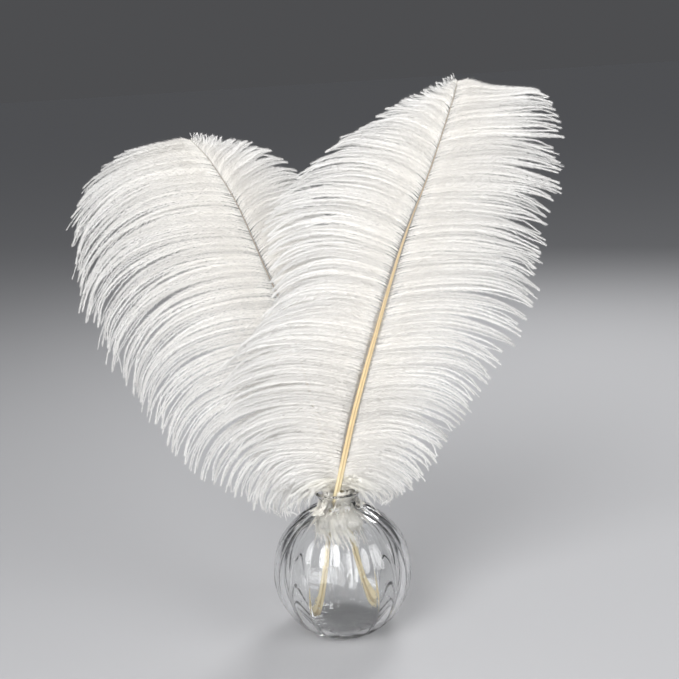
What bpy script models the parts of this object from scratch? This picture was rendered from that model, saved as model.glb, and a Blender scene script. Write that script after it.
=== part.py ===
"""Two white ostrich plumes standing crossed in a small ribbed glass bud vase.

Metres, +Z up. The origin is the centre of the vase's foot on the table. The plumes face -Y: the front
one leans towards +X, the back one towards -X, and their quills cross in the neck of the vase.
"""
import math
import random

import bmesh
import bpy
import numpy as np
from mathutils import Matrix, Vector

MM = 0.001
GAP = 0.0003                     # air left between pieces that touch

# Vase
GLOBE_RADIUS = 47.6 * MM
GLOBE_CENTRE_Z = 41.5 * MM       # the globe is cut flat below, which makes the foot
WALL = 3.0 * MM
FLOOR_Z = 6.0 * MM               # top of the thick glass floor
SHOULDER_RADIUS = 29.0 * MM      # where the round globe ends and slopes up to the neck
INNER_SHOULDER_RADIUS = 21.0 * MM
SHOULDER_OUTSIDE = ((24.8, 82.9), (20.0, 85.9), (16.6, 87.4), (14.4, 88.9))     # (r, z) in millimetres
SHOULDER_INSIDE = ((12.0, 86.0), (16.0, 83.5))
WAIST_RADIUS = 13.1 * MM
WAIST_Z = 91.8 * MM
LIP_RADIUS = 16.0 * MM
HEIGHT = 99.6 * MM
NECK_WALL = 2.7 * MM
RIBS = 18
STEPS_PER_RIB = 4
RIB_DEPTH = 1.7 * MM             # how far a groove between two ribs sinks in
RIB_FADE = 9.0 * MM              # height over which the ribs fade out below the waist
INNER_RIB_SHARE = 0.8            # the wall inside follows the ribs a little less

# Feathers: the routes of the shafts, in millimetres, from the cut quill to the tip
FRONT_ROUTE = (
    (-20.5, 0.5, 7.5), (-6.0, -2.6, 78.0), (0.9, -3.5, 103.0), (14.3, -6.0, 153.0),
    (31.5, -8.8, 207.0), (51.4, -9.8, 264.5), (71.6, -8.0, 311.0), (87.4, -3.4, 351.0),
    (91.0, 0.5, 361.0), (93.0, 8.0, 365.0),
)
BACK_ROUTE = (
    (21.5, 1.0, 7.5), (6.4, 2.5, 73.0), (1.8, 3.4, 98.0), (-11.5, 8.4, 152.0),
    (-24.7, 18.2, 211.0), (-38.9, 27.0, 249.0), (-54.5, 39.2, 290.0), (-68.8, 49.0, 316.0),
    (-77.0, 54.5, 327.0), (-82.5, 59.0, 332.5), (-86.0, 64.0, 335.5),
)
SHAFT_POINTS = 22
# Radius of the shaft at a share of its length from the quill's end
FRONT_SHAFT = ((0.0, 1.3), (0.03, 1.9), (0.25, 2.1), (0.40, 1.9), (0.60, 1.3), (0.80, 0.7), (1.0, 0.4))
BACK_SHAFT = ((0.0, 1.3), (0.03, 1.8), (0.25, 2.0), (0.40, 1.7), (0.60, 1.1), (0.80, 0.6), (1.0, 0.4))

# Barbs, by their distance from the quill's end: length in millimetres, and the angles from the shaft
# at which they leave it and end
FRONT_RIGHT = (
    (99, 50, 78, 165), (105, 58, 74, 154), (112, 61, 72, 142), (130, 68, 70, 134), (175, 83, 68, 126),
    (211, 98, 66, 120), (240, 103, 65, 115), (262, 96, 65, 108), (284, 92, 65, 101), (304, 91, 64, 95),
    (322, 88, 63, 90), (341, 80, 62, 82), (356, 71, 63, 80), (369, 60, 67, 66), (376, 46, 71, 58),
    (381, 28, 74, 52),
)
FRONT_LEFT = (
    (99, 52, 86, 166), (121, 72, 88, 150), (161, 98, 90, 152), (190, 106, 89, 151), (210, 96, 89, 153),
    (224, 84, 88, 155), (240, 81, 86, 154), (256, 87, 84, 150), (270, 94, 83, 147), (285, 95, 82, 146),
    (309, 80, 80, 142), (333, 56, 76, 133), (353, 31, 72, 122), (363, 19, 70, 114), (371, 10.5, 68, 108),
    (381, 4, 62, 92),
)
BACK_RIGHT = (
    (100, 52, 76, 156), (136, 78, 70, 140), (196, 80, 80, 150), (256, 62, 82, 145), (284, 53, 78, 138),
    (304, 48, 74, 128), (322, 33, 70, 113), (338, 16, 66, 98), (357, 6, 62, 84),
)
BACK_LEFT = (
    (100, 61, 82, 185), (110, 70, 80, 170), (121, 78, 78, 160), (156, 106, 74, 152), (176, 122, 72, 152),
    (224, 133, 67, 151), (246, 144, 65, 148), (286, 143, 60, 139), (312, 140, 56, 130),
    (331, 128, 52, 114), (345, 115, 48, 84), (351, 98, 46, 66), (357, 55, 44, 38),
)
BEND_POWER = 1.6                 # a barb bends mostly in its outer part
DROOP_POWER = 1.5                # short barbs fall away behind the vane less than long ones
FRAME_REACH = 14 * MM            # the barbs follow the shaft's direction over this far each way
VANE_THICKNESS = 1.3 * MM
LOCKS_PER_SIDE = 18
BARB_SHARES = (0.0, 0.18, 0.36, 0.54, 0.70, 0.86, 1.0)
SPLIT_SHARE = 0.70               # beyond this share of its length a lock stands alone
LOCK_WIDTHS = (0.74, 0.30)       # what a lock keeps of its width beyond the split, ending blunt
LOCK_UNEVENNESS = 0.06

# Down: the tuft that fills the neck, half on each quill, and its fringe inside the globe
TUFT_RADIUS = 8.6 * MM
TUFT_BOTTOM_Z = 76.0 * MM
TUFT_TOP_Z = 103.0 * MM
TUFT_SIDES = 20
FRINGE_LOCKS = 6
FRINGE_LENGTH = 15.0 * MM
FRINGE_RADIUS = 1.7 * MM
FRINGE_TILT = 0.30
FRINGE_FIRST = math.radians(20)  # the first and last locks stand this far from the other tuft


def remove_all_objects():
    """Empties the scene that the script starts from."""
    for item in list(bpy.data.objects):
        bpy.data.objects.remove(item, do_unlink=True)


def collection(name):
    """Makes a collection in the scene."""
    made = bpy.data.collections.new(name)
    bpy.context.scene.collection.children.link(made)
    return made


def principled(name, colour, roughness, transmission=0.0, ior=1.45):
    """Makes a material with one Principled shader."""
    material = bpy.data.materials.new(name)
    material.use_nodes = True
    shader = material.node_tree.nodes["Principled BSDF"]
    shader.inputs["Base Color"].default_value = (*colour, 1.0)
    shader.inputs["Roughness"].default_value = roughness
    shader.inputs["Metallic"].default_value = 0.0
    shader.inputs["Transmission Weight"].default_value = transmission
    shader.inputs["IOR"].default_value = ior
    return material


def mesh_object(name, bm, home, material=None):
    """Turns a bmesh into an object in a collection."""
    mesh = bpy.data.meshes.new(name)
    bm.to_mesh(mesh)
    bm.free()
    made = bpy.data.objects.new(name, mesh)
    home.objects.link(made)
    if material is not None:
        made.data.materials.append(material)
    return made


def as_cutter(item):
    """Marks an object as a tool of the boolean modifiers."""
    item.hide_render = True
    item.display_type = "WIRE"
    return item


def arc(centre_z, radius, start_radius, end_radius, steps, lower_start=True):
    """Points (r, z) on a circle about the axis, from one distance off the axis to another."""
    first = math.acos(start_radius / radius) * (-1 if lower_start else 1)
    last = math.acos(end_radius / radius) * (1 if lower_start else -1)
    angles = [first + (last - first) * step / steps for step in range(steps + 1)]
    return [(radius * math.cos(angle), centre_z + radius * math.sin(angle)) for angle in angles]


def vase_profile():
    """The section of the glass: out along the foot, up the outside, over the lip and down inside."""
    foot_radius = math.sqrt(GLOBE_RADIUS ** 2 - GLOBE_CENTRE_Z ** 2)
    inner_radius = GLOBE_RADIUS - WALL
    floor_radius = math.sqrt(inner_radius ** 2 - (GLOBE_CENTRE_Z - FLOOR_Z) ** 2)
    bore = WAIST_RADIUS - NECK_WALL
    outside = arc(GLOBE_CENTRE_Z, GLOBE_RADIUS, foot_radius, SHOULDER_RADIUS, 8)
    neck = [
        *((radius * MM, z * MM) for radius, z in SHOULDER_OUTSIDE),
        (WAIST_RADIUS, WAIST_Z),
        (WAIST_RADIUS + 0.8 * MM, WAIST_Z + 3.6 * MM),
        (LIP_RADIUS, HEIGHT - 1.2 * MM),
        (LIP_RADIUS - 0.8 * MM, HEIGHT),
        (LIP_RADIUS - 2.4 * MM, HEIGHT - 0.9 * MM),
        (bore, WAIST_Z - 0.8 * MM),
        *((radius * MM, z * MM) for radius, z in SHOULDER_INSIDE),
    ]
    inside = arc(GLOBE_CENTRE_Z, inner_radius, INNER_SHOULDER_RADIUS, floor_radius, 6, False)
    return [(0.0, 0.0), *outside, *neck, *inside, (0.0, FLOOR_Z - 0.8 * MM)]


def rib_fade(z):
    """How far the ribs show at a height: full on the globe, fading out towards the waist."""
    return max(0.0, min(1.0, (WAIST_Z - z) / RIB_FADE))


def build_vase(home):
    """The vase: its section spun round, then pressed in along the grooves between its ribs."""
    profile = vase_profile()
    steps = RIBS * STEPS_PER_RIB
    bm = bmesh.new()
    verts = [bm.verts.new((radius, 0.0, z)) for radius, z in profile]
    edges = [bm.edges.new(pair) for pair in zip(verts, verts[1:])]
    bmesh.ops.spin(
        bm, geom=verts + edges, cent=(0, 0, 0), axis=(0, 0, 1),
        angle=2 * math.pi, steps=steps, use_merge=True,
    )
    bmesh.ops.remove_doubles(bm, verts=bm.verts, dist=1e-6)
    inner_limit = GLOBE_RADIUS - 0.6 * WALL
    for vert in bm.verts:
        radius = math.hypot(vert.co.x, vert.co.y)
        if radius < 1e-6:
            continue
        angle = math.atan2(vert.co.y, vert.co.x)
        from_centre = math.hypot(radius, vert.co.z - GLOBE_CENTRE_Z)
        share = 1.0 if from_centre > inner_limit else INNER_RIB_SHARE
        groove = 1.0 - abs(math.sin(angle * RIBS / 2))
        inset = RIB_DEPTH * share * groove * rib_fade(vert.co.z) * radius / GLOBE_RADIUS
        vert.co.x *= 1 - inset / radius
        vert.co.y *= 1 - inset / radius
    bmesh.ops.recalc_face_normals(bm, faces=bm.faces)
    glass = principled("clear glass", (0.97, 0.98, 0.98), 0.03, transmission=1.0, ior=1.5)
    vase = mesh_object("vase", bm, home, glass)
    vase.data.shade_smooth()
    vase.data.set_sharp_from_angle(angle=math.radians(40))
    return vase


class Shaft:
    """The smooth route of a feather's shaft, read by its distance from the quill's end."""

    def __init__(self, route):
        points = np.array(route) * MM
        ends = [2 * points[0] - points[1], *points, 2 * points[-1] - points[-2]]
        fine = []
        for before, start, end, after in zip(ends, ends[1:], ends[2:], ends[3:]):
            for share in np.linspace(0, 1, 20, endpoint=False):
                fine.append(0.5 * (
                    2 * start + (end - before) * share
                    + (2 * before - 5 * start + 4 * end - after) * share ** 2
                    + (3 * start - before - 3 * end + after) * share ** 3
                ))
        fine.append(points[-1])
        self.points = np.array(fine)
        steps = np.linalg.norm(np.diff(self.points, axis=0), axis=1)
        self.distances = np.concatenate([[0.0], np.cumsum(steps)])
        self.length = self.distances[-1]

    def point(self, distance):
        """The place of the shaft's axis at a distance from the quill's end."""
        return np.array([np.interp(distance, self.distances, self.points[:, i]) for i in range(3)])

    def frame(self, distance):
        """The place, and the unit vectors along the shaft, towards the viewer and to the right."""
        along = self.point(distance + FRAME_REACH) - self.point(distance - FRAME_REACH)
        along /= np.linalg.norm(along)
        facing = np.array([0.0, -1.0, 0.0])
        facing -= along * (facing @ along)
        facing /= np.linalg.norm(facing)
        return self.point(distance), along, facing, np.cross(along, facing)


def barb_path(shaft, table, side, droop, distance, stretch=1.0):
    """The points of one barb, at the shares of its length where the vane has its vertices."""
    columns = np.array(table, dtype=float)
    length, leave, end = (np.interp(distance / MM, columns[:, 0], columns[:, i]) for i in (1, 2, 3))
    fall = droop * (length / columns[:, 1].max()) ** DROOP_POWER
    length *= MM * stretch
    root, along, facing, right = shaft.frame(distance)
    steps = 40
    shares = (np.arange(steps) + 0.5) / steps
    angles = np.radians(leave + (end - leave) * shares ** BEND_POWER)
    forward = np.concatenate([[0.0], np.cumsum(np.cos(angles))]) * length / steps
    outward = np.concatenate([[0.0], np.cumsum(np.sin(angles))]) * length / steps
    path = []
    for share in BARB_SHARES:
        place = share * steps
        ahead = np.interp(place, np.arange(steps + 1), forward)
        away = np.interp(place, np.arange(steps + 1), outward)
        path.append(root + ahead * along + side * away * right - fall * share ** 2 * facing)
    return path


def build_vane_side(bm, shaft, table, side, droop, roots, seed):
    """One side of the vane: locks of barbs that are joined inside and stand apart at their ends."""
    rng = random.Random(seed)
    first, last = table[0][0] * MM, table[-1][0] * MM
    bounds = [first + (last - first) * i / LOCKS_PER_SIDE for i in range(LOCKS_PER_SIDE + 1)]
    inner = sum(share <= SPLIT_SHARE for share in BARB_SHARES)
    rails = [barb_path(shaft, table, side, droop, bound) for bound in bounds]
    shared = [
        [roots[2 * i]] + [bm.verts.new(point) for point in rail[1:inner]]
        for i, rail in enumerate(rails)
    ]
    for i in range(LOCKS_PER_SIDE):
        stretch = 1 + rng.uniform(-LOCK_UNEVENNESS, LOCK_UNEVENNESS)
        middle = 0.5 * (bounds[i] + bounds[i + 1])
        spine = barb_path(shaft, table, side, droop, middle, stretch)
        centre = [roots[2 * i + 1]] + [bm.verts.new(point) for point in spine[1:]]
        rows = []
        for rail, row in ((rails[i], shared[i]), (rails[i + 1], shared[i + 1])):
            outer = []
            for k in range(inner, len(BARB_SHARES)):
                keep = LOCK_WIDTHS[k - inner]
                outer.append(bm.verts.new(spine[k] + (rail[k] - spine[k]) * keep))
            rows.append(row + outer)
        lower, upper = rows
        for k in range(len(BARB_SHARES) - 1):
            add_face(bm, (lower[k], lower[k + 1], centre[k + 1], centre[k]), side)
            add_face(bm, (centre[k], centre[k + 1], upper[k + 1], upper[k]), side)


def add_face(bm, corners, side):
    """A face of the vane, turned so that both sides of the shaft face the viewer."""
    bm.faces.new(corners if side > 0 else corners[::-1])


def build_vane(name, shaft, right, left, droop_right, droop_left, seed, home):
    """Both sides of the vane as one sheet through the shaft's axis, then given its thickness."""
    bm = bmesh.new()
    first, last = right[0][0] * MM, right[-1][0] * MM
    places = [first + (last - first) * i / (2 * LOCKS_PER_SIDE) for i in range(2 * LOCKS_PER_SIDE + 1)]
    roots = [bm.verts.new(shaft.point(place)) for place in places]
    build_vane_side(bm, shaft, right, 1, droop_right, roots, seed)
    build_vane_side(bm, shaft, left, -1, droop_left, roots, seed + 1)
    vane = mesh_object(name, bm, home)
    thick = vane.modifiers.new("thickness", "SOLIDIFY")
    thick.thickness = VANE_THICKNESS
    thick.offset = 0.0
    thick.use_even_offset = False
    return vane


def build_shaft(name, shaft, radii, home):
    """The quill and shaft: a tapered round tube along the route, made a closed mesh."""
    curve = bpy.data.curves.new(name, "CURVE")
    curve.dimensions = "3D"
    curve.bevel_depth = 1.0
    curve.bevel_resolution = 2
    curve.use_fill_caps = True
    spline = curve.splines.new("POLY")
    spline.points.add(SHAFT_POINTS - 1)
    shares, sizes = np.array(radii).T
    for i, point in enumerate(spline.points):
        share = i / (SHAFT_POINTS - 1)
        point.co = (*shaft.point(share * shaft.length), 1.0)
        point.radius = np.interp(share, shares, sizes) * MM
    tube = bpy.data.objects.new(name, curve)
    home.objects.link(tube)
    bpy.context.view_layer.update()
    evaluated = tube.evaluated_get(bpy.context.evaluated_depsgraph_get())
    mesh = bpy.data.meshes.new_from_object(evaluated)
    solid = bpy.data.objects.new(name + ".solid", mesh)
    solid.matrix_world = tube.matrix_world
    home.objects.link(solid)
    bpy.data.objects.remove(tube, do_unlink=True)
    bm = bmesh.new()
    bm.from_mesh(mesh)
    bmesh.ops.remove_doubles(bm, verts=bm.verts, dist=1e-6)
    bm.to_mesh(mesh)
    bm.free()
    return as_cutter(solid)


def build_down(name, facing, home):
    """The tuft of down in the neck, half a plug, facing -Y for -1 and +Y for +1, with its fringe."""
    pieces = []
    bm = bmesh.new()
    height = TUFT_TOP_Z - TUFT_BOTTOM_Z
    bmesh.ops.create_cone(
        bm, cap_ends=True, segments=TUFT_SIDES, radius1=TUFT_RADIUS, radius2=TUFT_RADIUS - 1 * MM,
        depth=height, matrix=Matrix.Translation((0, 0, TUFT_BOTTOM_Z + height / 2)),
    )
    cut = bmesh.ops.bisect_plane(
        bm, geom=[*bm.verts, *bm.edges, *bm.faces], plane_co=(0, facing * GAP, 0),
        plane_no=(0, -facing, 0), clear_outer=True,
    )
    rim = [item for item in cut["geom_cut"] if isinstance(item, bmesh.types.BMEdge)]
    bmesh.ops.edgenet_fill(bm, edges=rim)
    bmesh.ops.recalc_face_normals(bm, faces=bm.faces)
    pieces.append(as_cutter(mesh_object(name + ".tuft", bm, home)))
    for i in range(FRINGE_LOCKS):
        turn = facing * (FRINGE_FIRST + (math.pi - 2 * FRINGE_FIRST) * i / (FRINGE_LOCKS - 1))
        out = Vector((math.cos(turn), math.sin(turn), 0.0))
        pieces.append(build_fringe_lock(f"{name}.fringe_{i + 1}", out, i % 2, home))
    return pieces


def build_fringe_lock(name, out, odd, home):
    """A pointed lock that hangs from the tuft and leans outwards."""
    length = FRINGE_LENGTH * (0.8 if odd else 1.0)
    down = (Vector((0, 0, -1)) + out * FRINGE_TILT).normalized()
    top = out * (TUFT_RADIUS - FRINGE_RADIUS - 0.6 * MM) + Vector((0, 0, TUFT_BOTTOM_Z + 2 * MM))
    turn = Vector((0, 0, 1)).rotation_difference(down).to_matrix().to_4x4()
    bm = bmesh.new()
    bmesh.ops.create_cone(
        bm, cap_ends=True, segments=6, radius1=FRINGE_RADIUS, radius2=0.35 * MM, depth=length,
        matrix=Matrix.Translation(top + down * length / 2) @ turn,
    )
    return as_cutter(mesh_object(name, bm, home))


def build_feather(name, route, radii, right, left, droops, facing, seed, home, tools):
    """One whole feather: its vane joined with its shaft, the tuft of down and the fringe."""
    shaft = Shaft(route)
    feather = build_vane(name, shaft, right, left, *droops, seed, home)
    feather.data.materials.append(principled(name + " white", (0.93, 0.92, 0.89), 0.8))
    parts = [build_shaft(name + ".shaft", shaft, radii, tools), *build_down(name, facing, tools)]
    for part in parts:
        union = feather.modifiers.new("join " + part.name, "BOOLEAN")
        union.operation = "UNION"
        union.solver = "EXACT"
        union.object = part
    return feather


def main():
    """Builds the vase and its two feathers."""
    remove_all_objects()
    home = collection("ostrich feathers in a vase")
    tools = collection("joined shapes")
    build_vase(home)
    build_feather(
        "front_feather", FRONT_ROUTE, FRONT_SHAFT, FRONT_RIGHT, FRONT_LEFT,
        (24 * MM, 12 * MM), -1, 11, home, tools,
    )
    build_feather(
        "back_feather", BACK_ROUTE, BACK_SHAFT, BACK_RIGHT, BACK_LEFT,
        (14 * MM, 26 * MM), 1, 23, home, tools,
    )


main()
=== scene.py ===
"""The looks of two white ostrich plumes that stand crossed in a ribbed glass bud vase.

Metres, +Z up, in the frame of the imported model: the origin is the centre of the vase's foot, and the
plumes face -Y. Every barb is real mesh: a tapering stem with two rows of fine barbules.
"""

import logging
import math
from dataclasses import dataclass
from enum import Enum

import bmesh
import bpy
import numpy as np
from mathutils import Matrix, Vector


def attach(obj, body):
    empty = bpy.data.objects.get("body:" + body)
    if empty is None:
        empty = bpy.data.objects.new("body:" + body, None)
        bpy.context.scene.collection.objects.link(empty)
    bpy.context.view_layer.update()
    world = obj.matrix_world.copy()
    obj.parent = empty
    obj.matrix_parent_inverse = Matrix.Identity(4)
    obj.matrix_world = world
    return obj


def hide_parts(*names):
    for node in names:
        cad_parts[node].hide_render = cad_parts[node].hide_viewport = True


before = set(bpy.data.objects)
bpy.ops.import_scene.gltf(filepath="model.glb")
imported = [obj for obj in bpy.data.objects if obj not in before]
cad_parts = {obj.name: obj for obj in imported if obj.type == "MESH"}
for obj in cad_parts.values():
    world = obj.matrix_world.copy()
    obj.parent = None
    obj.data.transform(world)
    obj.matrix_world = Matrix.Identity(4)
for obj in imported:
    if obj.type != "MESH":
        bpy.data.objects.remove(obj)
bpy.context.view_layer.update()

MM = 0.001
BODY = "root"
STRAND_MAP = "OFBake"
LOG = logging.getLogger("plumes")

Array = np.ndarray
Chance = np.random.Generator
Pair = tuple[float, float]
Point = tuple[float, float, float]
Colour = tuple[float, float, float]


class Side(Enum):
    """Which side of the shaft a vane stands on, as seen by the viewer."""

    LEFT = -1
    RIGHT = 1


# --------------------------------------------------------------------------------------- finishes

Socket = bpy.types.NodeSocket
Source = Socket | float | tuple[float, ...]

# Where a strand's tone changes, from and to
ROOTS_WHITEN = (0.6, 1.0)        # shares of the way to where the feather's roots are white
TIP_WHITENS = (0.15, 0.75)       # shares of a barb's length
PAINTED_SHADE_SPAN = (0.08, 0.35)   # painted shade between strands: where it rises, out from the stem, in a strand's own row of V
STRAND_ROUGHNESS = (0.55, 0.8)


@dataclass(frozen=True)
class Wiring:
    """A node tree in the making: each call adds a node and joins it to what feeds it."""

    tree: bpy.types.NodeTree

    def feed(self, socket: Socket, source: Source) -> None:
        """Links a socket to another node's output, or sets its value."""
        if isinstance(source, Socket):
            self.tree.links.new(source, socket)
        else:
            socket.default_value = source

    def node(self, kind: str, feeds: dict[str | int, Source], **settings: object) -> bpy.types.Node:
        """Adds a node.

        Args:
            kind: Its type, without the words that all shader nodes start with.
            feeds: What each of its sockets takes.
            settings: Its own settings, made first because they decide which sockets it has.

        Returns:
            The node.
        """
        made = self.tree.nodes.new("ShaderNode" + kind)
        for setting, value in settings.items():
            setattr(made, setting, value)
        for socket, source in feeds.items():
            self.feed(made.inputs[socket], source)
        return made

    def strand_map(self) -> Socket:
        """The piece's own map."""
        return self.node("UVMap", {}, uv_map=STRAND_MAP).outputs["UV"]

    def parts(self, vector: Source) -> bpy.types.NodeOutputs:
        """The X, Y and Z of a vector."""
        return self.node("SeparateXYZ", {0: vector}).outputs

    def maths(self, operation: str, *values: Source) -> Socket:
        """The result of one operation on up to three values."""
        return self.node("Math", dict(enumerate(values)), operation=operation).outputs[0]

    def ranged(
        self, value: Source, low: Source = 0.0, high: Source = 1.0, first: Source = 0.0,
        last: Source = 1.0, smooth: bool = False,
    ) -> Socket:
        """Moves a value from one range to another.

        Args:
            value: The value.
            low: Where its range starts.
            high: Where it ends.
            first: The result at the start.
            last: The result at the end.
            smooth: True where the change eases in and out.

        Returns:
            The result, kept within its range.
        """
        feeds = {"Value": value, "From Min": low, "From Max": high, "To Min": first, "To Max": last}
        change = "SMOOTHSTEP" if smooth else "LINEAR"
        return self.node("MapRange", feeds, interpolation_type=change).outputs["Result"]

    def blend(self, share: Source, first: Source, second: Source) -> Socket:
        """Mixes two colours."""
        feeds = {"Factor": share, "A": first, "B": second}
        return self.node("Mix", feeds, data_type="RGBA").outputs["Result"]

    def shaded(self, colour: Source, share: Source) -> Socket:
        """A colour made brighter or darker."""
        return self.node("VectorMath", {0: colour, "Scale": share}, operation="SCALE").outputs[0]

    def dress(self, feeds: dict[str, Source]) -> None:
        """Feeds the sockets of the material's own shader."""
        shader = self.tree.nodes["Principled BSDF"]
        for socket, source in feeds.items():
            self.feed(shader.inputs[socket], source)


def new_material(name: str) -> tuple[bpy.types.Material, Wiring]:
    """Makes a material, and the wiring of its nodes."""
    material = bpy.data.materials.new(name)
    material.use_nodes = True
    return material, Wiring(material.node_tree)


def strand_tone_group() -> bpy.types.NodeTree:
    """Builds the group that colours barbs by their own map: along each one and from one to the next.

    Returns:
        The node group, with Colour and Roughness as its outputs.
    """
    name = "strand tone"
    if name in bpy.data.node_groups:
        return bpy.data.node_groups[name]
    tree = bpy.data.node_groups.new(name, "ShaderNodeTree")
    for way, kind, *sockets in (
        ("INPUT", "NodeSocketVector", "Strand"),
        ("INPUT", "NodeSocketColor", "Root", "Inner", "Tip"),
        ("INPUT", "NodeSocketFloat", "Root Length", "Root End", "Variation", "Edge", "Strands"),
        ("OUTPUT", "NodeSocketColor", "Colour"),
        ("OUTPUT", "NodeSocketFloat", "Roughness"),
    ):
        for socket in sockets:
            tree.interface.new_socket(name=socket, in_out=way, socket_type=kind)
    given = tree.nodes.new("NodeGroupInput").outputs
    result = tree.nodes.new("NodeGroupOutput").inputs
    wiring = Wiring(tree)
    along, beside, _ = wiring.parts(given["Strand"])
    near_root = wiring.ranged(along, 0.0, given["Root Length"], smooth=True)
    # The root's tone fades out towards the feather's tip.
    faded = wiring.ranged(wiring.maths("DIVIDE", beside, given["Root End"]), *ROOTS_WHITEN, smooth=True)
    white = wiring.maths("MAXIMUM", near_root, faded)
    inner = wiring.blend(white, given["Root"], given["Inner"])
    colour = wiring.blend(wiring.ranged(along, *TIP_WHITENS), inner, given["Tip"])
    # Each strand takes one row of V, with its stem in the row's middle and its barbules to both sides.
    row = wiring.maths("MULTIPLY", beside, given["Strands"])
    number = wiring.maths("FLOOR", row)
    chance = wiring.node("TexWhiteNoise", {"W": number}, noise_dimensions="1D").outputs["Value"]
    dim = wiring.maths("MULTIPLY", chance, given["Variation"])
    # Painted shade: the barbules darken out from the stem, as if shadowed by the neighbouring strands.
    from_stem = wiring.maths("ABSOLUTE", wiring.maths("SUBTRACT", wiring.maths("FRACT", row), 0.5))
    edge = wiring.ranged(from_stem, *PAINTED_SHADE_SPAN, 0.0, given["Edge"])
    keep = wiring.maths("SUBTRACT", 1.0, wiring.maths("ADD", dim, edge))
    wiring.feed(result["Colour"], wiring.shaded(colour, keep))
    wiring.feed(result["Roughness"], wiring.ranged(chance, 0.0, 1.0, *STRAND_ROUGHNESS))
    return tree


@dataclass(frozen=True)
class BarbFinish:
    """The soft white of barbs and down, with a warmer root and painted shade towards the barbules' ends.
    """

    name: str
    root: Colour = (0.90, 0.78, 0.58)
    inner: Colour = (0.94, 0.915, 0.87)
    tip: Colour = (0.96, 0.95, 0.93)
    root_length: float = 0.05        # share of a barb
    root_end: float = 0.62           # share of the feather where the roots turn white
    variation: float = 0.22
    edge: float = 0.32               # painted shade: how much darker the ends of the barbules are, as if shadowed between strands
    strands: int = 200

    def build(self) -> bpy.types.Material:
        """Makes the material.

        Returns:
            A Principled material whose colours follow the strands.
        """
        material, wiring = new_material(self.name)
        tone = wiring.node("Group", {
            "Strand": wiring.strand_map(),
            "Root": (*self.root, 1.0), "Inner": (*self.inner, 1.0), "Tip": (*self.tip, 1.0),
            "Root Length": self.root_length, "Root End": self.root_end,
            "Variation": self.variation, "Edge": self.edge, "Strands": self.strands,
        }, node_tree=strand_tone_group()).outputs
        wiring.dress({
            "Base Color": tone["Colour"], "Roughness": tone["Roughness"],
            "Sheen Weight": 0.25, "Sheen Roughness": 0.5, "Specular IOR Level": 0.3,
        })
        return material


@dataclass(frozen=True)
class ShaftFinish:
    """Horn of a quill: cream at the cut end, golden in the middle and thin grey-brown near the tip."""

    name: str
    quill: Colour = (0.80, 0.70, 0.46)
    middle: Colour = (0.76, 0.58, 0.32)
    tip: Colour = (0.32, 0.27, 0.21)
    # painted shade: the darker tone laid along the groove on the viewer's side
    groove: Colour = (0.45, 0.34, 0.18)
    # Shares of the shaft's length
    quill_end: float = 0.24          # where the quill's cream starts to turn
    middle_start: float = 0.34
    golden_end: float = 0.44         # where the middle tone starts to darken
    middle_end: float = 0.68         # where it ends
    darkening: float = 0.1           # from there to the tone of the tip
    groove_shade_edge: Pair = (0.02, 0.07)    # where the painted groove shade fades, in turns from its middle
    groove_shade_strength: float = 0.8
    stretch: Point = (9.0, 5.0, 1.0)    # of the grain, along and around
    grain_limits: Pair = (0.3, 0.7)
    grain_tones: Pair = (0.85, 1.12)

    def build(self) -> bpy.types.Material:
        """Makes the material.

        Returns:
            A Principled material that follows the shaft's own map: U along it, V around it.
        """
        material, wiring = new_material(self.name)
        place = wiring.strand_map()
        along, around, _ = wiring.parts(place)
        ramp = wiring.node("ValToRGB", {"Fac": along})
        ramp.color_ramp.interpolation = "EASE"
        upper = tuple(0.5 * (middle + tip) for middle, tip in zip(self.middle, self.tip))
        stops = (
            (0.0, self.quill), (self.quill_end, self.quill), (self.middle_start, self.middle),
            (self.golden_end, self.middle), (self.middle_end, upper),
            (self.middle_end + self.darkening, self.tip),
        )
        while len(ramp.color_ramp.elements) < len(stops):
            ramp.color_ramp.elements.new(0.5)
        for element, (place_along, colour) in zip(ramp.color_ramp.elements, stops):
            element.position = place_along
            element.color = (*colour, 1.0)
        grain_place = wiring.node("Mapping", {"Vector": place, "Scale": self.stretch}).outputs["Vector"]
        grain = wiring.node("TexNoise", {"Vector": grain_place, "Scale": 6.0, "Detail": 4.0})
        # V is 0.5 along the middle of the side that faces the viewer, where the groove runs and is
        # darkened with painted shade.
        from_groove = wiring.maths("ABSOLUTE", wiring.maths("SUBTRACT", around, 0.5))
        groove_shade = wiring.ranged(from_groove, *self.groove_shade_edge, self.groove_shade_strength, 0.0, smooth=True)
        grooved = wiring.blend(groove_shade, ramp.outputs["Color"], (*self.groove, 1.0))
        tone = wiring.ranged(grain.outputs["Fac"], *self.grain_limits, *self.grain_tones)
        wiring.dress({
            "Base Color": wiring.shaded(grooved, tone), "Roughness": 0.38, "Coat Weight": 0.15,
        })
        return material


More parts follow.
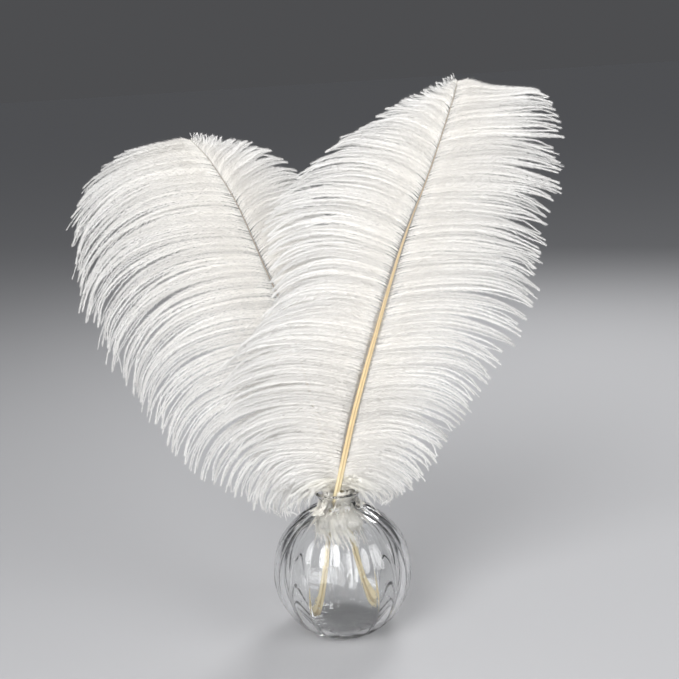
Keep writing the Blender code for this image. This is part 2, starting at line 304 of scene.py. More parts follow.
@dataclass(frozen=True)
class GlassFinish:
    """Clear blown glass with fine seeds and slight waves."""

    name: str = "clear ribbed glass"
    tint: Colour = (0.995, 0.998, 0.997)
    ior: float = 1.5
    wave_scale: float = 45.0
    seed_scale: float = 260.0
    seed_edge: Pair = (0.05, 0.22)   # share of a cell over which a seed ends
    seed_height: float = 0.12        # against the waves

    def build(self) -> bpy.types.Material:
        """Makes the material.

        Returns:
            A transmitting Principled material with a bump of waves and seeds.
        """
        material, wiring = new_material(self.name)
        place = wiring.node("TexCoord", {}).outputs["Object"]
        waves = wiring.node("TexNoise", {"Vector": place, "Scale": self.wave_scale, "Detail": 1.0})
        cells = wiring.node("TexVoronoi", {"Vector": place, "Scale": self.seed_scale})
        seeds = wiring.ranged(cells.outputs["Distance"], *self.seed_edge, 1.0, 0.0)
        relief = wiring.maths("MULTIPLY_ADD", seeds, self.seed_height, waves.outputs["Fac"])
        bump = wiring.node("Bump", {"Strength": 0.35, "Distance": 0.0012, "Height": relief})
        wiring.dress({
            "Normal": bump.outputs["Normal"], "Base Color": (*self.tint, 1.0), "Roughness": 0.0,
            "IOR": self.ior, "Transmission Weight": 1.0,
        })
        return material


# ------------------------------------------------------------------------------------ shared making


def finish_piece(piece: bpy.types.Object, material: bpy.types.Material, slot: str, *nodes: str) -> None:
    """Gives a piece its material and tells the frame what it is.

    Args:
        piece: The finished object, at the origin.
        material: Its material.
        slot: Not used.
        nodes: The CAD nodes that it stands for.
    """
    piece.data.materials.clear()
    piece.data.materials.append(material)
    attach(piece, BODY)
    if nodes:
        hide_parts(*nodes)
    LOG.info("%s: %d faces", piece.name, len(piece.data.polygons))


def linked_object(name: str, data: bpy.types.ID) -> bpy.types.Object:
    """Makes an object for a mesh, camera or light and links it to the scene."""
    made = bpy.data.objects.new(name, data)
    bpy.context.scene.collection.objects.link(made)
    return made


def modelled_object(name: str, bm: bmesh.types.BMesh, smooth: bool = True) -> bpy.types.Object:
    """Turns a finished bmesh into a linked object.

    Args:
        name: The object's name, which its mesh takes as well.
        bm: The bmesh, which is freed.
        smooth: True where its faces are shaded as one surface.

    Returns:
        The object.
    """
    mesh = bpy.data.meshes.new(name)
    bm.to_mesh(mesh)
    bm.free()
    if smooth:
        mesh.shade_smooth()
    return linked_object(name, mesh)


def unit(vectors: Array) -> Array:
    """Scales vectors to a length of one."""
    return vectors / np.maximum(np.linalg.norm(vectors, axis=-1, keepdims=True), 1e-12)


def smoothstep(values: Array, low: float, high: float) -> Array:
    """Rises smoothly from 0 at low to 1 at high."""
    share = np.clip((values - low) / (high - low), 0.0, 1.0)
    return share * share * (3 - 2 * share)


def varied(chance: Array, least: float, more: float) -> Array:
    """Spreads chances of 0 to 1 over a range that starts at its least value."""
    return least + more * chance


def ripple(share: Array, waves: Array | float, shift: Array | float) -> Array:
    """A sine of some waves along a strand, shifted by a part of a wave."""
    return np.sin(2 * math.pi * (waves * share + shift))


def summed(steps: Array) -> Array:
    """The running total of some steps, from zero on."""
    return np.concatenate([[0.0], np.cumsum(steps)])


def threaded(corners: Array, steps: int) -> Array:
    """Threads a smooth curve through some points.

    Args:
        corners: The points that it passes through.
        steps: Steps between two of them.

    Returns:
        The curve's points, without the last corner.
    """
    ends = [2 * corners[0] - corners[1], *corners, 2 * corners[-1] - corners[-2]]
    fine = []
    for before, start, end, after in zip(ends, ends[1:], ends[2:], ends[3:]):
        for share in np.linspace(0, 1, steps, endpoint=False):
            fine.append(0.5 * (
                2 * start + (end - before) * share
                + (2 * before - 5 * start + 4 * end - after) * share ** 2
                + (3 * start - before - 3 * end + after) * share ** 3
            ))
    return np.array(fine)


def kindred(rng: Chance, count: int, reach: float) -> Array:
    """Random numbers that are alike in neighbours.

    Args:
        rng: The source of chance.
        count: How many.
        reach: Over how many neighbours they stay alike.

    Returns:
        Numbers with a mean of about zero and a spread of about one.
    """
    span = int(3 * reach) + 1
    weights = np.exp(-0.5 * (np.arange(-span, span + 1) / reach) ** 2)
    weights /= math.sqrt(float(np.sum(weights ** 2)))
    return np.convolve(rng.normal(0, 1, count + 2 * span), weights, mode="valid")


# ------------------------------------------------------------------------------------ the feathers


class Shaft:
    """The smooth route of a feather's shaft, read by its distance from the quill's end."""

    def __init__(self, route: tuple[Point, ...]) -> None:
        """Threads a smooth curve through the route's points.

        Args:
            route: Points in millimetres, from the cut quill to the tip.
        """
        corners = np.array(route) * MM
        self.points = np.concatenate([threaded(corners, 20), corners[-1:]])
        self.distances = summed(np.linalg.norm(np.diff(self.points, axis=0), axis=1))
        self.length = float(self.distances[-1])

    def places(self, distances: Array) -> Array:
        """The points of the axis at some distances from the quill's end."""
        return np.stack([np.interp(distances, self.distances, self.points[:, i]) for i in range(3)], -1)

    def frames(self, distances: Array, reach: float = 2 * MM) -> tuple[Array, ...]:
        """Frames along the shaft.

        Args:
            distances: Distances from the quill's end.
            reach: How far each way the shaft's direction is taken.

        Returns:
            The places, and the unit vectors along the shaft, towards the viewer and to the right.
        """
        along = unit(self.places(distances + reach) - self.places(distances - reach))
        facing = np.zeros_like(along)
        facing[:, 1] = -1.0
        facing = unit(facing - along * np.sum(facing * along, axis=1, keepdims=True))
        return self.places(distances), along, facing, np.cross(along, facing)


# The glass in millimetres: its radius inside and outside at some heights
GLASS_HEIGHTS = (6.0, 20.0, 41.5, 60.0, 72.0, 76.0, 80.8, 83.5, 86.0, 87.3, 88.8, 91.2, 95.4, 98.6, 99.6)
GLASS_INSIDE = (26.0, 38.5, 43.0, 39.0, 31.2, 27.6, 20.6, 15.6, 11.8, 11.3, 10.9, 10.4, 11.6, 13.2, 14.0)
GLASS_OUTSIDE = (31.5, 42.5, 47.6, 43.9, 36.6, 32.8, 27.4, 24.3, 19.9, 16.9, 14.6, 13.2, 13.9, 16.0, 15.2)
GAP_INSIDE, GAP_OUTSIDE = 0.7, 0.8     # between the glass and the fibres beside it
LIP_START, LIP_TOP = 97.5, 100.2       # heights between which fibres pass over the lip
LIP_GAP = 0.3


def clear_of_glass(points: Array) -> Array:
    """Keeps soft fibres out of the wall of the vase: beside the glass, inside it or over its lip.

    Args:
        points: Points in metres.

    Returns:
        The points, moved off the glass where they lay in it.
    """
    height = points[:, 2] / MM
    radius = np.maximum(np.hypot(points[:, 0], points[:, 1]) / MM, 1e-6)
    inside = np.interp(height, GLASS_HEIGHTS, GLASS_INSIDE) - GAP_INSIDE
    outside = np.interp(height, GLASS_HEIGHTS, GLASS_OUTSIDE) + GAP_OUTSIDE
    middle = 0.5 * (inside + outside)
    kept = np.where(radius < middle, np.minimum(radius, inside), np.maximum(radius, outside))
    on_lip = (height > LIP_START) & (height < LIP_TOP) & (radius > inside) & (radius < outside)
    kept = np.where((height < LIP_TOP) & ~on_lip, kept, radius)
    moved = points.copy()
    moved[:, :2] *= (kept / radius)[:, None]
    moved[:, 2] = np.where(on_lip, (LIP_TOP + LIP_GAP) * MM, points[:, 2])
    return moved


# Shares of a barb's length over which its barbules change
GROWING = (0.0, 0.10)            # from the end of its bare root on
SHORTENING = (0.35, 0.85)
CLOSING = (0.68, 0.95)           # where they lie closer to the barb
# The least share of a barbule's own measure, and how much chance or growth adds to it
YOUNG_SIZE = (0.35, 0.65)
LEAN_SHARE = (0.6, 0.8)
SIZE_SHARE = (0.65, 0.7)
WIDTH_SHARE = (0.35, 0.3)
STEM_TAPER = (1.15, -0.85)       # share of a stem's radius at its root, and the change to its end


@dataclass
class Strands:
    """Many barbs as one set of paths, turned into one mesh of stems and barbules."""

    points: Array                    # strand, point, xyz
    facing: Array                    # strand, xyz: the way that the vane faces
    rng: Chance
    faces_allowed: int = 187_000
    stem_radius: float = 0.17 * MM
    inner_barbule: float = 4.3 * MM
    end_barbule: float = 3.0 * MM
    barbule_width: float = 0.42 * MM
    spread: float = 0.44             # how far a barbule leans away from its barb, in radians
    end_spread: float = 0.28
    lift: float = 1.7                # range over which barbules turn out of the vane, in radians
    bare: Array | float = 0.0        # length of each barb's root without barbules
    least_hairy: float = 0.25        # share of a short barb that has barbules all the same
    past_end: float = 1.0 * MM       # how far the last barbules reach beyond the barb
    full_length: float = 18 * MM     # shorter barbs carry shorter barbules

    def mesh(self, name: str) -> bpy.types.Mesh:
        """Builds the joined mesh.

        Args:
            name: The mesh's name.

        Returns:
            A mesh with the strand map: U along each barb, V from one barb to the next.
        """
        count = self.points.shape[1]
        along = unit(np.gradient(self.points, axis=1))
        facing = np.repeat(self.facing[:, None, :], count, axis=1)
        across = unit(np.cross(along, facing))
        facing = np.cross(across, along)
        stem = self.stems(across, facing)
        rows = self.barbules(along, across, facing, self.faces_allowed - len(stem[1]))
        verts = clear_of_glass(np.concatenate([stem[0], rows[0]]))
        faces = np.concatenate([stem[1], rows[1] + len(stem[0])])
        maps = np.concatenate([stem[2], rows[2]])
        made = bpy.data.meshes.new(name)
        made.vertices.add(len(verts))
        made.vertices.foreach_set("co", verts.astype(np.float32).ravel())
        made.loops.add(faces.size)
        made.loops.foreach_set("vertex_index", faces.astype(np.int32).ravel())
        made.polygons.add(len(faces))
        made.polygons.foreach_set("loop_start", np.arange(0, faces.size, 3, dtype=np.int32))
        layer = made.uv_layers.new(name=STRAND_MAP)
        made.update(calc_edges=True)
        layer.data.foreach_set("uv", maps.astype(np.float32).ravel())
        made.validate()
        return made

    def row(self, strand: Array, shift: float) -> Array:
        """V of a strand in its map, shifted within the strand's own row."""
        return (strand + 0.5 + shift) / len(self.points)

    def stems(self, across: Array, facing: Array) -> tuple[Array, ...]:
        """The three-sided tapering stems of the barbs.

        Args:
            across: Unit vectors across each barb, in the vane.
            facing: Unit vectors out of the vane.

        Returns:
            Vertices, triangles and the map of each triangle's corners.
        """
        strands, count, _ = self.points.shape
        share = np.linspace(0, 1, count)
        radius = self.stem_radius * varied(share, *STEM_TAPER)[None, :, None]
        turns = np.radians([90.0, 210.0, 330.0])
        rings = [
            self.points + radius * (math.cos(turn) * across + math.sin(turn) * facing) for turn in turns
        ]
        verts = np.stack(rings, axis=2).reshape(-1, 3)
        first = np.arange(strands * count).reshape(strands, count)[:, :-1] * 3
        tris, maps = [], []
        u0 = np.broadcast_to(share[:-1], first.shape)
        u1 = np.broadcast_to(share[1:], first.shape)
        number = np.broadcast_to(np.arange(strands)[:, None], first.shape)
        # The stem takes the middle six tenths of its strand's row of V, a third of that on each face.
        for k in range(3):
            after = (k + 1) % 3
            v0, v1 = self.row(number, -0.3 + 0.2 * k), self.row(number, -0.1 + 0.2 * k)
            tris.append(np.stack([first + k, first + after, first + 3 + after], -1))
            maps.append(np.stack([u0, v0, u0, v1, u1, v1], -1))
            tris.append(np.stack([first + k, first + 3 + after, first + 3 + k], -1))
            maps.append(np.stack([u0, v0, u1, v1, u1, v0], -1))
        return verts, np.concatenate(tris).reshape(-1, 3), np.concatenate(maps).reshape(-1, 3, 2)

    def barbules(self, along: Array, across: Array, facing: Array, faces: int) -> tuple[Array, ...]:
        """The fine barbules along both sides of each barb, one slim triangle each.

        Args:
            along: Unit vectors along each barb.
            across: Unit vectors across it, in the vane.
            facing: Unit vectors out of the vane.
            faces: How many triangles they may take in all.

        Returns:
            Vertices, triangles and the map of each triangle's corners.
        """
        strands, count, _ = self.points.shape
        lengths = np.linalg.norm(np.diff(self.points, axis=1), axis=2).sum(axis=1)
        hairy = np.maximum(lengths - self.bare, self.least_hairy * lengths)
        numbers = (hairy * (0.5 * faces / hairy.sum())).astype(int)
        strand = np.repeat(np.arange(strands), numbers)
        order = np.arange(len(strand)) - np.repeat(np.cumsum(numbers) - numbers, numbers)
        start = (1 - hairy / lengths)[strand]
        verts, maps = [], []
        for side in (-1.0, 1.0):
            chance = self.rng.random((5, len(strand)))
            share = start + (1 - start) * (order + chance[0]) / numbers[strand]
            place = np.minimum(share, 0.9999) * (count - 1)
            low = place.astype(int)
            part = (place - low)[:, None]

            def at(values: Array) -> Array:
                """Reads values between the points of each strand."""
                return values[strand, low] * (1 - part) + values[strand, low + 1] * part

            root, ahead, out, up = at(self.points), at(along), side * at(across), at(facing)
            outer = smoothstep(share, *SHORTENING)
            open_out = self.spread + (self.end_spread - self.spread) * smoothstep(share, *CLOSING)
            lean = (open_out * varied(chance[1], *LEAN_SHARE))[:, None]
            lift = ((chance[2] - 0.5) * self.lift * (1 + 0.5 * outer))[:, None]
            way = unit(np.cos(lean) * ahead + np.sin(lean) * (np.cos(lift) * out + np.sin(lift) * up))
            grown = varied(smoothstep(share - start, *GROWING), *YOUNG_SIZE)
            size = self.inner_barbule + (self.end_barbule - self.inner_barbule) * outer
            size = size * varied(chance[3], *SIZE_SHARE) * grown
            size = size * np.minimum(lengths / self.full_length, 1.0)[strand]
            ahead_left = (1 - share) * lengths[strand] + self.past_end
            size = np.minimum(size, ahead_left)[:, None]
            half = self.barbule_width * varied(chance[4], *WIDTH_SHARE)[:, None]
            verts.append(np.stack([root - half * ahead, root + half * ahead, root + size * way], 1))
            v0 = self.row(strand, 0.0)
            v1 = self.row(strand, 0.35 * side)
            reach = 0.5 / count
            maps.append(np.stack([share, v0, np.minimum(share + reach, 1), v0, share, v1], -1))
        points = np.concatenate(verts).reshape(-1, 3)
        tris = np.arange(len(points)).reshape(-1, 3)
        return points, tris, np.concatenate(maps).reshape(-1, 3, 2)


# Waves along a barb, and how far chance changes and shifts them: in the vane with its neighbours,
# in the vane alone, and out of the vane
SWAY_WAVES, SWAY_CHANGE, SWAY_SHIFT = 1.1, 0.15, 0.25
OWN_WAVES, OWN_SHIFT, OWN_SIZE = 1.6, 0.3, 0.30
DEPTH_WAVES, DEPTH_SHIFT, FALL_CHANGE = 0.9, 0.3, 0.05


@dataclass
class Vane:
    """One side of a feather: its barbs by their distance from the quill's end.

    Each row of the table holds that distance and the barb's length in millimetres, then the angles
    from the shaft at which the barb leaves it and ends.
    """

    name: str
    side: Side
    table: tuple[tuple[float, float, float, float], ...]
    droop: float                     # how far the ends fall away behind the vane
    seed: int
    count: int = 305
    bend_power: float = 1.6
    droop_power: float = 1.5         # short barbs fall away less than long ones
    frame_reach: float = 14 * MM
    points_per_barb: int = 18
    # Locks of barbs: fewest and most barbs, how far their ends draw together, and from which share on
    locks: tuple[tuple[int, int, float, float], ...] = ((7, 18, 0.22, 0.55), (1, 4, 0.85, 0.80))
    wave: float = 1.2 * MM
    unevenness: float = 0.06
    bare: Pair = (3.2, 0.4)          # bare root of a barb low and high on the feather, in mm
    bare_change: Pair = (0.58, 0.80)    # shares of the shaft between low and high
    barbule_width: float = 0.42 * MM
    root_scatter: float = 0.2 * MM
    length_limits: Pair = (-0.14, 0.05)    # how far a barb's length may leave the table
    downy_reach: float = 12 * MM     # short barbs mix in over the foot of the vane
    downy_loss: float = 0.55         # share of their length that these may lose
    steady_length: float = 60 * MM   # longer barbs keep closer to their neighbours
    most_free: float = 1.3           # how much more freely the shortest barbs stray
    neighbours: float = 8.0          # over how many barbs they stay alike
    leave_strays: Pair = (0.4, 0.3)  # degrees: with its neighbours, and alone
    end_strays: Pair = (1.4, 2.4)
    crowd: float = 6.0               # how many more roots the foot of the vane has
    crowd_reach: float = 9 * MM
    even_roots: float = 0.55         # weight of even roots against even ends, in spreading the barbs
    even_ends: float = 0.45
    comb: float = 26.0               # degrees by which a barb is steeper where it leaves its shaft
    comb_reach: float = 4.5 * MM
    ripple_depth: float = 1.8 * MM   # out of the vane, shared by neighbours
    stray_depth: float = 1.1 * MM    # out of the vane, of each barb alone

    def strands(self, shaft: Shaft) -> Strands:
        """Lays out the barbs.

        Args:
            shaft: The feather's shaft.

        Returns:
            The strands of this side.
        """
        rng = np.random.default_rng(self.seed)
        roots = self.roots(shaft) + rng.normal(0, self.root_scatter, self.count)
        length, leave, end = self.sizes(roots)
        length = length * (1 + rng.normal(0, self.unevenness, self.count).clip(*self.length_limits))
        downy = np.exp(-(roots - roots.min()) / self.downy_reach)
        length = length * (1 - self.downy_loss * downy * rng.random(self.count))
        free = np.minimum(self.steady_length / length, self.most_free)
        leave = self.strayed(leave, free, self.leave_strays, rng)
        end = self.strayed(end, free, self.end_strays, rng)
        paths = self.barbs(shaft, roots, length, leave, end, rng)
        paths = self.draw_together(paths, rng)
        _, _, facing, _ = shaft.frames(roots, self.frame_reach)
        bare = np.interp(roots / shaft.length, self.bare_change, self.bare) * MM * (1 - downy)
        return Strands(paths, facing, rng, barbule_width=self.barbule_width, bare=bare)

    def finish(self, root: Colour, strands: int) -> BarbFinish:
        """The vane's white, which takes the feather's own tone at the roots of the barbs."""
        return BarbFinish(name=self.name + " white", root=root, strands=strands)

    def strayed(self, angles: Array, free: Array, degrees: Pair, rng: Chance) -> Array:
        """Lets the barbs' angles stray.

        Args:
            angles: The angles of the table, in degrees.
            free: How freely each barb strays alone.
            degrees: How far it strays with its neighbours, and alone.
            rng: The source of chance.

        Returns:
            The changed angles.
        """
        shared = degrees[0] * kindred(rng, self.count, self.neighbours)
        return angles + shared + degrees[1] * free * rng.normal(0, 1, self.count)

    def sizes(self, roots: Array) -> tuple[Array, ...]:
        """Length in metres, leaving angle and end angle of the barbs at some roots."""
        columns = np.array(self.table, dtype=float)
        length, leave, end = (np.interp(roots / MM, columns[:, 0], columns[:, i]) for i in (1, 2, 3))
        return length * MM, leave, end

    def roots(self, shaft: Shaft) -> Array:
        """Spreads the roots so that neither they nor the barbs' ends are left sparse.

        Args:
            shaft: The feather's shaft.

        Returns:
            Distances from the quill's end.
        """
        fine = np.linspace(self.table[0][0] * MM, self.table[-1][0] * MM, 400)
        length, leave, end = self.sizes(fine)
        place, along, _, right = shaft.frames(fine, self.frame_reach)
        lean = np.radians(0.5 * (leave + end))[:, None]
        ends = place + length[:, None] * (np.cos(lean) * along + self.side.value * np.sin(lean) * right)
        steps = np.linalg.norm(np.diff(ends, axis=0), axis=1)
        at_ends = summed(steps) / steps.sum()
        crowd = 1 + self.crowd * np.exp(-(fine - fine[0]) / self.crowd_reach)
        at_roots = summed(0.5 * (crowd[1:] + crowd[:-1]))
        at_roots /= at_roots[-1]
        shares = self.even_roots * at_roots + self.even_ends * at_ends
        return np.interp(np.linspace(0, 1, self.count), shares, fine)

    def barbs(
        self, shaft: Shaft, roots: Array, length: Array, leave: Array, end: Array, rng: Chance,
    ) -> Array:
        """The paths of single barbs, with their own slow waves.

        Args:
            shaft: The feather's shaft.
            roots: Distances of the roots from the quill's end.
            length: Lengths in metres.
            leave: Angles at the roots, in degrees.
            end: Angles at the ends, in degrees.
            rng: The source of chance.

        Returns:
            Points, indexed by barb and by place along it.
        """
        place, along, facing, right = shaft.frames(roots, self.frame_reach)
        count = self.points_per_barb
        share = np.linspace(0, 1, count)
        middle = 0.5 * (share[1:] + share[:-1])
        comb = self.comb * np.exp(-middle[None, :] * length[:, None] / self.comb_reach)
        turn = (end - leave)[:, None] * middle[None, :] ** self.bend_power
        angles = np.radians(leave[:, None] - comb + turn)
        step = (length / (count - 1))[:, None]
        zero = np.zeros((len(roots), 1))
        forward = np.concatenate([zero, np.cumsum(np.cos(angles) * step, axis=1)], axis=1)
        outward = np.concatenate([zero, np.cumsum(np.sin(angles) * step, axis=1)], axis=1)
        shared = [kindred(rng, len(roots), self.neighbours)[:, None] for _ in range(4)]
        own = [rng.normal(0, 1, len(roots))[:, None] for _ in range(2)]
        far = share[None, :]
        sway = self.wave * far * (
            ripple(far, SWAY_WAVES + SWAY_CHANGE * shared[0], SWAY_SHIFT * shared[1])
            + OWN_SIZE * ripple(far, OWN_WAVES, OWN_SHIFT * own[0])
        )
        longest = max(row[1] for row in self.table) * MM
        fall = self.droop * np.minimum(length / longest, 1.0)[:, None] ** self.droop_power
        depth = (
            fall * far ** 2 * (1 + FALL_CHANGE * shared[2])
            + self.ripple_depth * far * ripple(far, DEPTH_WAVES, DEPTH_SHIFT * shared[3])
            + self.stray_depth * far * own[1]
        )
        forward = forward + sway
        side = self.side.value
        return (
            place[:, None, :] + forward[..., None] * along[:, None, :]
            + side * outward[..., None] * right[:, None, :] - depth[..., None] * facing[:, None, :]
        )

    def draw_together(self, paths: Array, rng: Chance) -> Array:
        """Draws the ends of barbs together, loosely into broad locks and closely into small ones.

        Args:
            paths: The barbs' points.
            rng: The source of chance.

        Returns:
            The changed points.
        """
        share = np.linspace(0, 1, paths.shape[1])
        for smallest, largest, clump, start in self.locks:
            groups = rng.integers(smallest, largest + 1, len(paths))
            owner = np.repeat(np.arange(len(groups)), groups)[: len(paths)]
            total = np.zeros((owner.max() + 1, *paths.shape[1:]))
            np.add.at(total, owner, paths)
            mean = total / np.bincount(owner)[:, None, None]
            pull = clump * smoothstep(share, start, 1.0)[None, :, None]
            paths = paths + (mean[owner] - paths) * pull
        return paths


@dataclass(frozen=True)
class Tuft:
    """One kind of lock of down: ranges of distance from the axis and of height, in millimetres."""

    count: int
    start: tuple[float, float, float, float]    # r from, r to, z from, z to
    bend: tuple[float, float, float, float]
    end: tuple[float, float, float, float]
    clear: float = 0.0               # half angle kept free, where the shaft shows
    gap_at: float = 0.0              # where that gap lies, from the middle of the side that is seen
    twist: float = 14.0              # degrees


@dataclass
class Down:
    """Down on one quill: it fills half the neck and hangs into the globe, or fluffs beside the lip."""

    name: str
    facing: int                      # -1 on the viewer's side of the neck, 1 on the far side
    seed: int
    tufts: tuple[Tuft, ...]
    faces_allowed: int = 67_000
    points_per_lock: int = 12
    inner: Colour = (0.96, 0.93, 0.86)
    tip: Colour = (0.97, 0.95, 0.90)
    variation: float = 0.03
    # painted shade: how much darker the ends of the barbules are
    edge: float = 0.04
    half_turn: float = 92.0          # degrees to either side of its own middle that the down covers

    def finish(self, root: Colour, strands: int) -> BarbFinish:
        """The down's white, whose roots are halfway from the feather's own tone to near white."""
        paler = tuple(0.5 * (tone + 0.95) for tone in root)
        return BarbFinish(
            name=self.name + " white", root=paler, inner=self.inner, tip=self.tip, root_length=0.03,
            root_end=4.0, variation=self.variation, edge=self.edge, strands=strands,
        )

    def strands(self, shaft: Shaft) -> Strands:
        """Lays out the locks.

        Args:
            shaft: The feather's shaft.

        Returns:
            The strands of the down.
        """
        rng = np.random.default_rng(self.seed)
        made = [self.locks(shaft, tuft, rng) for tuft in self.tufts]
        paths = np.concatenate([paths for paths, _ in made])
        facing = np.concatenate([facing for _, facing in made])
        return Strands(
            paths, facing, rng, faces_allowed=self.faces_allowed, stem_radius=0.07 * MM,
            inner_barbule=2.8 * MM, end_barbule=2.2 * MM, barbule_width=0.30 * MM, spread=0.55,
            end_spread=0.4, lift=0.9, bare=0.4 * MM, full_length=6 * MM,
        )

    def locks(self, shaft: Shaft, tuft: Tuft, rng: Chance) -> tuple[Array, Array]:
        """Lays out one kind of lock as curves from the quill to the glass.

        Args:
            shaft: The feather's shaft.
            tuft: The kind of lock.
            rng: The source of chance.

        Returns:
            The locks' points, and the way that each lock faces.
        """
        def within(low: float, high: float) -> Array:
            """Draws one number for each lock."""
            return rng.uniform(low, high, tuft.count)[:, None]

        corners = [(within(*box[:2]), within(*box[2:])) for box in (tuft.start, tuft.bend, tuft.end)]
        share = np.linspace(0, 1, self.points_per_lock)[None, :]
        weights = ((1 - share) ** 2, 2 * share * (1 - share), share ** 2)
        radius = sum(weight * corner[0] for weight, corner in zip(weights, corners))
        height = sum(weight * corner[1] for weight, corner in zip(weights, corners))
        spread = rng.uniform(-1, 1, tuft.count)
        side = np.sign(spread)
        covered = self.half_turn - tuft.clear - side * tuft.gap_at
        turn = tuft.gap_at + side * tuft.clear + spread * covered
        middle = 90.0 * self.facing
        turn = np.radians(middle + turn[:, None] + within(-tuft.twist, tuft.twist) * share)
        axis = shaft.points
        quill = np.stack([np.interp(height * MM, axis[:, 2], axis[:, i]) for i in (0, 1)], -1)
        out = np.stack([np.cos(turn), np.sin(turn)], -1)
        wave = 0.5 * ripple(share, 1.3, within(0, 1))
        flat = quill * (1 - share[..., None]) + out * ((radius + wave) * MM)[..., None]
        facing = np.concatenate([out[:, -1], np.zeros((tuft.count, 1))], axis=1)
        return np.concatenate([flat, (height * MM)[..., None]], axis=-1), facing


def fluff(name: str, facing: int, seed: int, clear: float) -> Down:
    """The downy barbs that fall to either side over the lip, in the vane's white.

    Args:
        name: The piece's name.
        facing: -1 on the viewer's side, 1 on the far side.
        seed: The seed of its chance.
        clear: Half angle kept free in the middle, so that the lip shows.

    Returns:
        The fluff.
    """
    locks = Tuft(
        80, (1.0, 3.0, 99, 109), (10.0, 24.0, 104, 116), (17.0, 38.0, 86, 102), clear=clear, twist=20,
    )
    return Down(
        name, facing, seed, (locks,), faces_allowed=20_000, points_per_lock=16,
        # edge is painted shade at the ends of the barbules
        inner=(0.91, 0.88, 0.80), tip=(0.91, 0.90, 0.86), variation=0.14, edge=0.2,
    )


@dataclass
class Feather:
    """One whole plume: shaft, both vanes and its share of the down in the neck."""

    name: str
    node: str
    route: tuple[Point, ...]
    radii: tuple[Pair, ...]
    vanes: tuple[Vane, ...]
    downs: tuple[Down, ...]
    shaft_finish: ShaftFinish
    root: Colour                     # colour of the barbs where they leave the shaft
    rings: int = 110
    corners: int = 16
    groove_depth: float = 0.16       # share of the shaft's thickness
    groove_start: Pair = (0.26, 0.34)    # shares of its length over which it deepens

    def __post_init__(self) -> None:
        """Threads the shaft."""
        self.shaft = Shaft(self.route)

    def build(self) -> None:
        """Builds and dresses every piece of the feather."""
        self.build_shaft()
        for part in (*self.vanes, *self.downs):
            strands = part.strands(self.shaft)
            piece = linked_object(part.name, strands.mesh(part.name))
            finish = part.finish(self.root, len(strands.points))
            finish_piece(piece, finish.build(), "white_plume", self.node)

    def radius(self, share: float) -> float:
        """The shaft's radius at a share of its length."""
        shares, sizes = np.array(self.radii).T
        return float(np.interp(share, shares, sizes)) * MM

    def build_shaft(self) -> None:
        """The horn shaft: rings along the route, grooved on the side of the viewer."""
        distances = np.linspace(0, self.shaft.length, self.rings)
        place, along, facing, right = self.shaft.frames(distances)
        bm = bmesh.new()
        layer = bm.loops.layers.uv.new(STRAND_MAP)
        loops = []
        for i, distance in enumerate(distances):
            share = distance / self.shaft.length
            radius = self.radius(share)
            groove = self.groove_depth * float(smoothstep(np.array(share), *self.groove_start))
            turned = Matrix((
                (*right[i], 0), (*facing[i], 0), (*along[i], 0), (0, 0, 0, 1),
            )).transposed()
            ring = bmesh.ops.create_circle(
                bm, cap_ends=False, segments=self.corners, radius=radius,
                matrix=Matrix.Translation(Vector(place[i])) @ turned,
            )["verts"]
            front = max(ring, key=lambda vert: (vert.co - Vector(place[i])).dot(Vector(facing[i])))
            front.co -= Vector(facing[i]) * radius * groove * 2
            loops.append(ring)
        for before, after in zip(loops, loops[1:]):
            edges = [self.edge_between(ring, k) for ring in (before, after) for k in range(self.corners)]
            bmesh.ops.bridge_loops(bm, edges=edges)
        for ring in (loops[0], loops[-1]):
            bm.faces.new(ring)
        bmesh.ops.recalc_face_normals(bm, faces=bm.faces)
        self.map_shaft(bm, layer, place, facing, right)
        piece = modelled_object(self.name + "_shaft", bm)
        finish_piece(piece, self.shaft_finish.build(), "white_plume", self.node)

    def edge_between(self, ring: list[bmesh.types.BMVert], k: int) -> bmesh.types.BMEdge:
        """The edge of a ring that starts at its corner k."""
        pair = {ring[k], ring[(k + 1) % len(ring)]}
        return next(edge for edge in ring[k].link_edges if set(edge.verts) == pair)

    def map_shaft(
        self, bm: bmesh.types.BMesh, layer: bmesh.types.BMLayerItem, place: Array,
        facing: Array, right: Array,
    ) -> None:
        """Lays the shaft's map: U along it, V around it with 0.5 on the side of the viewer.

        Args:
            bm: The shaft.
            layer: Its map.
            place: The rings' centres.
            facing: The rings' vectors towards the viewer.
            right: The rings' vectors to the right.
        """
        for face in bm.faces:
            middle = np.array(face.calc_center_median())
            for loop in face.loops:
                point = np.array(loop.vert.co)
                nearest = int(np.argmin(np.linalg.norm(place - point, axis=1)))
                arm = point - place[nearest]
                toward = 0.5 * (arm + middle - place[nearest])
                turn = math.atan2(arm @ right[nearest], arm @ facing[nearest])
                side = math.atan2(toward @ right[nearest], toward @ facing[nearest])
                if turn - side > math.pi:
                    turn -= 2 * math.pi
                if side - turn > math.pi:
                    turn += 2 * math.pi
                v = 0.5 + turn / (2 * math.pi)
                loop[layer].uv = (nearest / (self.rings - 1), min(max(v, 0.0), 1.0))


# ------------------------------------------------------------------------------------ the vase


